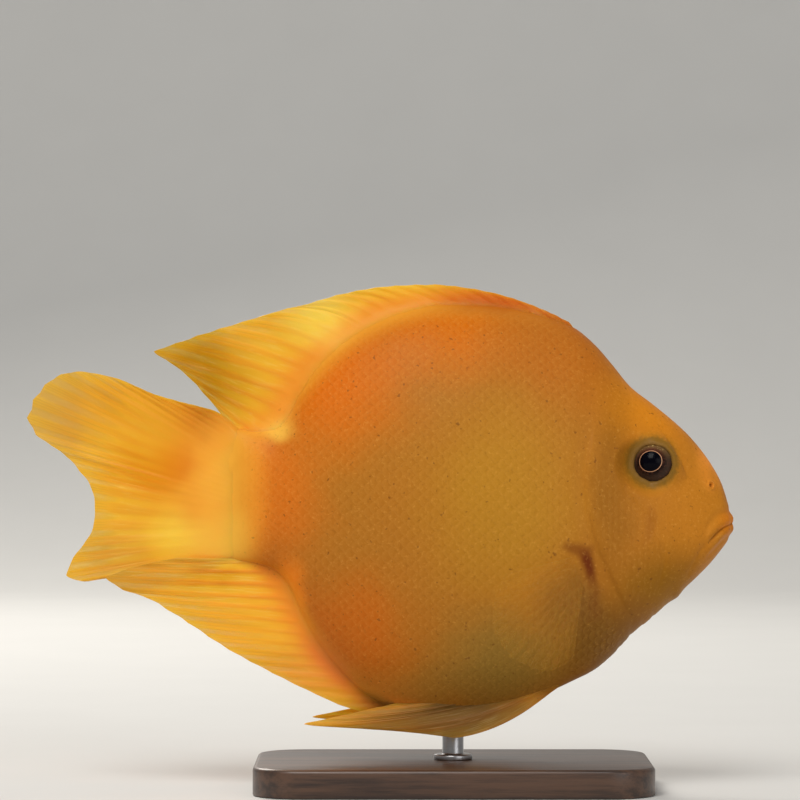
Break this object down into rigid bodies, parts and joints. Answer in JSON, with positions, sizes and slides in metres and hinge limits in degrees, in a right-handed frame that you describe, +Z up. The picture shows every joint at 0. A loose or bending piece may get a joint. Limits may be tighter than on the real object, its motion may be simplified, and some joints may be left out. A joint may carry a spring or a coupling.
{
  "type": "blood parrot cichlid model",
  "caption": "Life-size still model of a golden-orange parrot cichlid swimming level, held by a short rod on a flat display base.",
  "frame": {"origin": "middle of the underside of the stand's base, on the surface it stands on", "axes": "+X towards the fish's snout, +Y to the fish's left, +Z up"},
  "size_m": [0.2005, 0.072, 0.1426],
  "materials": {
    "skin": "wet-looking satin skin with fine scales, golden orange",
    "fins": "thin rayed membranes, translucent golden yellow",
    "eyes": "dark glossy eye with a thin pale ring round the pupil",
    "stand_wood": "dark satin wood",
    "stand_steel": "brushed steel rod"
  },
  "bodies": {
    "root": {"head": "skin", "lower_jaw": "skin", "gill_cover_left": "skin", "gill_cover_right": "skin", "body": "skin", "tail_stalk": "skin", "dorsal_fin": "fins", "anal_fin": "fins", "tail_fin": "fins", "pectoral_fin_left": "fins", "pectoral_fin_right": "fins", "pelvic_fin_left": "fins", "pelvic_fin_right": "fins", "eye_left": "eyes", "eye_right": "eyes", "stand_base": "stand_wood", "stand_rod": "stand_steel"}
  },
  "joints": []
}
